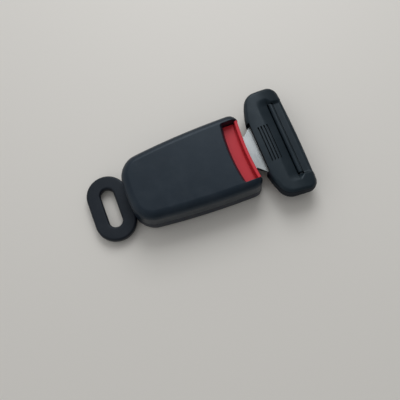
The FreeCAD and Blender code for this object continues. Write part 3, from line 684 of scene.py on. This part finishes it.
def metal(name, dark, light, roughness, grain_scale, grain_depth):
    """A metal with its grain drawn out along one direction."""
    paint = bpy.data.materials.new(name)
    paint.use_nodes = True
    tree = paint.node_tree
    surface = tree.nodes["Principled BSDF"]
    surface.inputs["Metallic"].default_value = 1.0
    work = put(tree, "ShaderNodeGroup", node_tree=metal_surface)
    work.inputs["Dark"].default_value = (*dark, 1.0)
    work.inputs["Light"].default_value = (*light, 1.0)
    work.inputs["Roughness"].default_value = roughness
    work.inputs["Grain Scale"].default_value = grain_scale
    tree.links.new(work.outputs["Color"], surface.inputs["Base Color"])
    tree.links.new(work.outputs["Roughness"], surface.inputs["Roughness"])
    grain = put(tree, "ShaderNodeBump", {"Height": work.outputs["Height"], "Strength": grain_depth,
                                         "Distance": metal_bump})
    tree.links.new(grain.outputs["Normal"], surface.inputs["Normal"])
    return paint


def coil(radius, length):
    """A compression spring of round wire with closed ends that stands on the origin."""
    form = bmesh.new()
    bmesh.ops.create_circle(form, segments=wire_sides, radius=wire_radius, cap_ends=True)
    bmesh.ops.rotate(form, cent=(0, 0, 0), matrix=Matrix.Rotation(math.pi / 2, 3, "X"), verts=form.verts)
    bmesh.ops.translate(form, vec=(radius, 0, wire_radius), verts=form.verts)
    rise = length - 2 * wire_radius - 2 * end_turn_pitch
    turns = max(1, round(rise / coil_pitch))
    end = form.faces[:]
    for count, height in ((1, end_turn_pitch), (turns, rise), (1, end_turn_pitch)):
        steps = count * coil_steps
        spun = bmesh.ops.spin(form, geom=end, cent=(0, 0, 0), axis=(0, 0, 1), dvec=(0, 0, height / steps),
                              angle=2 * math.pi * count, steps=steps)
        end = [e for e in spun["geom_last"] if isinstance(e, bmesh.types.BMFace)]
    return form


def spring_piece(name, places, direction, radius, length, node):
    """One spring or a pair of like springs, each set down at its place and turned along its direction."""
    forms = bmesh.new()
    turn = Vector((0, 0, 1)).rotation_difference(Vector(direction)).to_matrix()
    for place in places:
        form = coil(radius, length)
        bmesh.ops.rotate(form, cent=(0, 0, 0), matrix=turn, verts=form.verts)
        bmesh.ops.translate(form, vec=place, verts=form.verts)
        mesh = bpy.data.meshes.new("blank")
        form.to_mesh(mesh)
        form.free()
        forms.from_mesh(mesh)
        bpy.data.meshes.remove(mesh)
    piece = piece_from(forms, name)
    piece.data.materials.append(spring_steel)
    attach(piece, "housing")
    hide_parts(node)


spring_steel = metal("spring steel", steel_wire_dark, steel_wire_light, roughness=0.34,
                     grain_scale=(700.0, 700.0, 700.0), grain_depth=0.15)
for name, node in (("rail_spring_left", "button_spring_left"), ("rail_spring_right", "button_spring_right")):
    low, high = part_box(node)
    middle = (low + high) / 2
    spring_piece(name, [(low.x, middle.y, middle.z)], (1, 0, 0), rail_spring_radius, high.x - low.x, node)
low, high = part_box("lock_springs")
middle_z = (low.z + high.z) / 2
places = [(low.x, side * slide_spring_side, middle_z) for side in (-1, 1)]
spring_piece("slide_springs", places, (1, 0, 0), slide_spring_radius, high.x - low.x, "lock_springs")
low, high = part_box("ejector_spring")
middle = (low + high) / 2
spring_piece("ejector_coil", [(low.x, middle.y, middle.z)], (1, 0, 0), ejector_coil_radius, high.x - low.x,
             "ejector_spring")
low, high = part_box("latch_spring")
middle = (low + high) / 2
spring_piece("lever_spring", [(middle.x, middle.y, low.z)], (0, 0, 1), lever_spring_radius, high.z - low.z,
             "latch_spring")

# Steel frame, latch and rivets
# Stamped steel parts with a clear zinc plating: the anchor eye with its shank, the channel, the latch lever
# on its pin, and the rivets that hold them. They keep their shapes from the CAD.
zinc_dark = (0.40, 0.41, 0.42)
zinc_light = (0.56, 0.57, 0.57)
zinc_plate = metal("zinc plated steel", zinc_dark, zinc_light, roughness=0.38,
                   grain_scale=(900.0, 220.0, 900.0), grain_depth=0.12)


def finish_node(node, paint):
    """Gives a piece that keeps its CAD shape its material."""
    mesh = bpy.data.objects[node].data
    mesh.materials.clear()
    mesh.materials.append(paint)


for node in ("anchor_plate", "anchor_rivets", "frame_channel", "guide_rivets", "latch_pin", "latch_lever"):
    finish_node(node, zinc_plate)

# Eye coat
# The soft black coat dipped and pressed over the steel eye, duller than the covers and round at every edge.
coat_radius = 1.4 * mm
coat_slot_half_width = 4.05 * mm
coat_arc_steps = 40
eye_dark = (0.0046, 0.0064, 0.0118)
eye_light = (0.0070, 0.0092, 0.0158)


def eye_coat_form():
    """The coat's rounded section, taken round the two half rings and along the two straights."""
    half_width = (coat_high.x - coat_low.x) / 2
    middle_x = (coat_high.x + coat_low.x) / 2
    reach = coat_high.y - half_width
    form = bmesh.new()
    corners = [
        (coat_slot_half_width, coat_low.z), (half_width, coat_low.z),
        (half_width, coat_high.z), (coat_slot_half_width, coat_high.z),
    ]
    form.faces.new([form.verts.new((middle_x + x, -reach, z)) for x, z in corners])
    bmesh.ops.bevel(form, geom=form.verts[:], offset=coat_radius, segments=6, profile=0.5, affect="VERTICES",
                    material=-1, clamp_overlap=False)
    section = form.faces[:]
    for side in (1, -1):
        straight = bmesh.ops.extrude_face_region(form, geom=section)
        bmesh.ops.delete(form, geom=section, context="FACES_ONLY")
        verts = [v for v in straight["geom"] if isinstance(v, bmesh.types.BMVert)]
        bmesh.ops.translate(form, vec=(0, side * 2 * reach, 0), verts=verts)
        section = [f for f in straight["geom"] if isinstance(f, bmesh.types.BMFace)]
        spun = bmesh.ops.spin(form, geom=section, cent=(middle_x, side * reach, 0), axis=(0, 0, 1),
                              angle=math.pi, steps=coat_arc_steps)
        bmesh.ops.delete(form, geom=section, context="FACES_ONLY")
        section = [f for f in spun["geom_last"] if isinstance(f, bmesh.types.BMFace)]
    bmesh.ops.delete(form, geom=section, context="FACES_ONLY")
    bmesh.ops.remove_doubles(form, verts=form.verts, dist=tiny)
    return form


eye_coat = piece_from(eye_coat_form(), "eye_coat")
eye_plastic = plastic("eye coat", eye_dark, eye_light, roughness=0.42, grain_scale=1300.0,
                      grain_depth=0.16, specks=0.03)
eye_coat.data.materials.append(eye_plastic)
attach(eye_coat, "housing")
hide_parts("eye_coating")

# Plastic inside the frame
# The mouth guide that the blade slides in, moulded in dark filled nylon, and the lock slide, the ejector
# and its spring block in pale acetal. They keep their shapes from the CAD.
guide_dark = (0.016, 0.017, 0.018)
guide_light = (0.027, 0.028, 0.030)
pale_dark = (0.46, 0.45, 0.41)
pale_light = (0.56, 0.55, 0.51)
guide_plastic = plastic("guide plastic", guide_dark, guide_light, roughness=0.5, grain_scale=1500.0,
                        grain_depth=0.15, specks=0.0)
pale_plastic = plastic("pale plastic", pale_dark, pale_light, roughness=0.4, grain_scale=2400.0,
                       grain_depth=0.05, specks=0.0)
finish_node("mouth_guide", guide_plastic)
for node in ("lock_slide", "ejector", "spring_block"):
    finish_node(node, pale_plastic)

# Tongue blade
# The stamped steel blade with the latch window, its edges dulled after punching. It flares out just before
# the head and runs on inside it, round the pocket.
plate_low, plate_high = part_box("tongue_plate")
head_low, head_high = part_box("tongue_cover")
shoulder_reach = 1.0 * mm
head_recess = 1.4 * mm
plate_rear = head_low.x + head_recess
plate_inner = plate_high.y
plate_front = plate_high.x - 0.8 * mm
head_rear_x = head_low.x - shoulder_reach
blade_half_width = 10.95 * mm
blade_chamfer = 3.0 * mm
flare_half_width = 16.05 * mm
flare_length = 5.3 * mm
head_slant = 5.6 * mm
window_x = plate_low.x + 5.0 * mm
window_length = 9.7 * mm
window_half_width = 6.0 * mm
window_corner = 1.0 * mm
blade_edge = 0.22 * mm
well_low_x = 55.025 * mm
well_high_x = 60.625 * mm
plate_hole_border = 1.2 * mm
plate_hole_half = 26.05 * mm
plate_hole_corner = 2.0 * mm
blade_dark = (0.27, 0.295, 0.31)
blade_light = (0.33, 0.355, 0.37)


def prism(outline, low, high):
    """An outline from above, taken up from one height to another."""
    form = bmesh.new()
    face = form.faces.new([form.verts.new((x, y, low)) for x, y in outline])
    raised = bmesh.ops.extrude_face_region(form, geom=[face])
    verts = [v for v in raised["geom"] if isinstance(v, bmesh.types.BMVert)]
    bmesh.ops.translate(form, vec=(0, 0, high - low), verts=verts)
    bmesh.ops.recalc_face_normals(form, faces=form.faces)
    return form


def mirrored(half):
    """A whole outline from the half of it that lies at positive Y, listed from rear to front."""
    return [(x, -y) for x, y in half] + [(x, y) for x, y in reversed(half)]


outline = mirrored([
    (plate_low.x, blade_half_width - blade_chamfer), (plate_low.x + blade_chamfer, blade_half_width),
    (plate_rear - flare_length, blade_half_width), (plate_rear, flare_half_width),
    (plate_rear + head_slant, plate_inner - head_slant), (plate_rear + 2 * head_slant, plate_inner),
    (plate_front - blade_chamfer, plate_inner), (plate_front, plate_inner - blade_chamfer),
])
blade = prism(outline, plate_low.z, plate_high.z)
blade_window = block(window_x, window_x + window_length, -window_half_width, window_half_width,
                     plate_low.z - past, plate_high.z + past)
round_edges(blade_window, upright_edges(blade_window), window_corner, segments=5)
blade = combined(blade, blade_window, "DIFFERENCE")
flat_edges = level_edges(blade, plate_low.z) + level_edges(blade, plate_high.z)
round_edges(blade, flat_edges, blade_edge, segments=2)
plate_hole = block(well_low_x - plate_hole_border, well_high_x + plate_hole_border, -plate_hole_half,
                   plate_hole_half, plate_low.z - past, plate_high.z + past)
round_edges(plate_hole, upright_edges(plate_hole), plate_hole_corner, segments=5)
blade = combined(blade, plate_hole, "DIFFERENCE")
tongue_blade = piece_from(blade, "tongue_blade")
blade_steel = metal("ground blade steel", blade_dark, blade_light, roughness=0.36,
                    grain_scale=(1800.0, 90.0, 900.0), grain_depth=0.10)
tongue_blade.data.materials.append(blade_steel)
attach(tongue_blade, "tongue")
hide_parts("tongue_plate")

# Tongue head
# The black grip moulded round the blade: a crowned top that sinks in a soft valley to the bar's well, four
# finger grooves, and thicker rounded ends. Its sides are duller than its top, and coloured darker as painted
# shade, for they lie in shadow over the floor.
head_half = 35.38 * mm
head_shoulder = 16.5 * mm
head_end_slope = 1.4 * mm
head_front_bow = 1.2 * mm
head_front_step = 0.5 * mm
head_bottom_z = head_low.z
head_top_z = 16.6 * mm
head_corner_radius = 6.0 * mm
head_shoulder_radius = 8.0 * mm
head_top_radius = 2.2 * mm
head_bottom_radius = 3.6 * mm
crown_radius = 42.0 * mm
crown_x = head_low.x + 7.8 * mm
front_edge_share = 0.55
pocket_half = 24.5 * mm
valley_blend = 2.6 * mm
scoop_blend = 0.9 * mm
valley_overrun = 1.2 * mm
valley_x = 49.2 * mm
valley_z = 13.8 * mm
valley_bulge = 1.35
well_rear_x = 56.3 * mm
well_front_x = 59.9 * mm
well_floor_z = 9.0 * mm
well_corner = 0.6 * mm
scoop_z = 13.0 * mm
scoop_fall = 0.6 * mm
rim_rise = 0.7 * mm
rim_share = 0.76
rim_x = 64.5 * mm
step_length = 1.8 * mm
edge_share_length = 4 * mm
groove_count = 4
groove_pitch = 1.9 * mm
groove_first_x = head_low.x + 5.1 * mm
groove_half_length = 11.7 * mm
groove_width = 0.9 * mm
groove_depth = 1.5 * mm
strap_slot_half = 24.3 * mm
strap_slot_x = (57.3 * mm, 60.475 * mm)
end_cut_pitch = 0.45 * mm
middle_cut_pitch = 4 * mm
cross_cut_pitch = 0.5 * mm
head_dark = (0.0072, 0.0140, 0.0205)
head_light = (0.0100, 0.0182, 0.0258)
# The sides' colours are darker and their shine weaker than the top's: painted shade, for the sides lie in
# shadow over the floor.
side_shade_dark = (0.0050, 0.0085, 0.0150)
side_shade_light = (0.0075, 0.0115, 0.0190)
side_shine = 0.10
side_tilt = 0.4


def smooth_step(value, low, high):
    """Runs from 0 at one value to 1 at another with soft ends."""
    part = max(0.0, min(1.0, (value - low) / (high - low)))
    return part * part * (3 - 2 * part)


def pocket_height(x):
    """The height of the pocket's floor: a bulging slope down to the bar, and a shallow scoop in front."""
    if x < well_rear_x:
        part = max(0.0, (x - valley_x) / (well_rear_x - valley_x))
        return head_top_z - (head_top_z - valley_z) * part ** valley_bulge
    part = min(1.0, max(0.0, (x - well_front_x) / (rim_x - well_front_x)))
    rise = max(0.0, (part - rim_share) / (1 - rim_share))
    return scoop_z - scoop_fall * part + rim_rise * rise ** 2


def crown_drop(x):
    """How far the crown has fallen away at a place along the head."""
    away = x - crown_x
    return crown_radius - math.sqrt(crown_radius * crown_radius - away * away)


def head_body():
    """The head without its openings: a rounded prism whose top is let down to the crown and the pocket."""
    corner_x = head_high.x - head_front_bow + head_front_step
    outline = mirrored([
        (head_rear_x, head_shoulder), (head_rear_x + head_slant, head_half - head_end_slope),
        (corner_x, head_half),
    ])
    form = prism(outline, head_bottom_z, head_top_z)
    corners = [e for e in upright_edges(form) if e.verts[0].co.x > head_rear_x + tiny]
    round_edges(form, corners, head_corner_radius, segments=10)
    shoulders = [e for e in upright_edges(form) if e.verts[0].co.x < head_rear_x + tiny]
    round_edges(form, shoulders, head_shoulder_radius, segments=6)
    round_edges(form, level_edges(form, head_top_z), head_top_radius, segments=7)
    round_edges(form, level_edges(form, head_bottom_z), head_bottom_radius, segments=5)
    cuts_y = [side * (pocket_half + number * end_cut_pitch) for side in (-1, 1) for number in range(-5, 10)]
    cuts_y += [number * middle_cut_pitch for number in range(-5, 6)]
    for place in cuts_y:
        sliced(form, (0, place, 0), (0, 1, 0))
    flat_low = head_bottom_z + head_bottom_radius
    flat_high = head_top_z - head_top_radius
    for vert in form.verts:
        spot = vert.co
        if spot.z >= flat_high - tiny and spot.x > corner_x - head_top_radius:
            outside = smooth_step(abs(spot.y), pocket_half, pocket_half + edge_share_length)
            share = 1 - (1 - front_edge_share) * (1 - outside)
            spot.x = corner_x - share * (corner_x - spot.x)
            spot.z = head_top_z - share * (head_top_z - spot.z)
    for number in range(1, 54):
        sliced(form, (head_rear_x + number * cross_cut_pitch, 0, 0), (1, 0, 0))
    for vert in form.verts:
        spot = vert.co
        share = max(0.0, min(1.0, (spot.z - flat_low) / (flat_high - flat_low)))
        forward = smooth_step(spot.x, well_rear_x, well_front_x)
        blend = valley_blend + (scoop_blend - valley_blend) * forward
        end = pocket_half + valley_overrun * (1 - forward)
        inside = 1 - smooth_step(abs(spot.y), end - blend, end + blend)
        front = max(0.0, (spot.x - (corner_x - head_corner_radius)) / head_corner_radius)
        spot.x += front * head_front_bow * (1 - (spot.y / head_half) ** 2)
        outside = smooth_step(abs(spot.y), pocket_half - tiny, pocket_half + step_length)
        spot.x -= front * head_front_step * (1 - outside)
        spot.z -= share * crown_drop(spot.x)
        spot.z -= inside * max(0.0, spot.z - pocket_height(spot.x))
    return form


head = head_body()
recess = block(head_rear_x - past, plate_rear, -head_shoulder + tiny, head_shoulder - tiny,
               head_bottom_z - past, head_top_z + past)
head = combined(head, recess, "DIFFERENCE")
well = block(well_rear_x, well_front_x, -pocket_half, pocket_half, well_floor_z, head_top_z + past)
round_edges(well, upright_edges(well), well_corner, segments=3)
head = combined(head, well, "DIFFERENCE")
strap_slot = block(*strap_slot_x, -strap_slot_half, strap_slot_half, head_bottom_z - past,
                   well_floor_z + past)
head = combined(head, strap_slot, "DIFFERENCE")
for number in range(groove_count):
    groove_x = groove_first_x + number * groove_pitch
    groove = block(groove_x - groove_width / 2, groove_x + groove_width / 2, -groove_half_length,
                   groove_half_length, head_top_z - groove_depth - crown_drop(groove_x), head_top_z + past)
    round_edges(groove, upright_edges(groove), groove_width / 2 - tiny, segments=4)
    head = combined(head, groove, "DIFFERENCE")
tongue_head = piece_from(head, "tongue_head")
head_plastic = plastic("head plastic", head_dark, head_light, roughness=0.36, grain_scale=2300.0,
                       grain_depth=0.07, specks=0.03)
tongue_head.data.materials.append(head_plastic)
side_shade_plastic = plastic("head side shade plastic", side_shade_dark, side_shade_light, roughness=0.6, grain_scale=1200.0,
                       grain_depth=0.20, specks=0.0)
side_shade_plastic.node_tree.nodes["Principled BSDF"].inputs["Specular IOR Level"].default_value = side_shine
tongue_head.data.materials.append(side_shade_plastic)
# Faces that turn away from the top take the darker side material: painted shade on the head's sides.
for face in tongue_head.data.polygons:
    if face.normal.z < side_tilt:
        face.material_index = 1
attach(tongue_head, "tongue")
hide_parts("tongue_cover")

# Webbing bar
# The rounded bar across the pocket that the belt's webbing goes round, moulded in the same plastic as the
# head, with a low spigot at each end that holds it in the head.
bar_low, bar_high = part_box("webbing_bar")
bar_reach = 23.4 * mm
bar_radius = 1.4 * mm
bar_end_taper = 0.25 * mm
bar_end_share = 0.84
spigot_top = bar_low.z + 3.0 * mm
spigot_inset = 0.7 * mm


def bar_form():
    """The bar with its long edges rounded and its two ends drawn in a little."""
    form = block(bar_low.x, bar_high.x, -bar_reach, bar_reach, bar_low.z, bar_high.z)
    round_edges(form, [e for e in form.edges if e.calc_length() > bar_reach], bar_radius, segments=8)
    for side in (-1, 1):
        sliced(form, (0, side * (bar_reach - bar_end_taper), 0), (0, 1, 0))
    middle = Vector(((bar_low.x + bar_high.x) / 2, 0, (bar_low.z + bar_high.z) / 2))
    ends = [v for v in form.verts if abs(v.co.y) > bar_reach - tiny]
    bmesh.ops.scale(form, vec=(bar_end_share, 1, bar_end_share), verts=ends,
                    space=Matrix.Translation(-middle))
    return form


spigot = block(bar_low.x + spigot_inset, bar_high.x - spigot_inset, bar_low.y, bar_high.y,
               bar_low.z + tiny, spigot_top)
head_bar = piece_from(combined(bar_form(), spigot, "UNION"), "head_bar")
head_bar.data.materials.append(head_plastic)
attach(head_bar, "tongue")
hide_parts("webbing_bar")
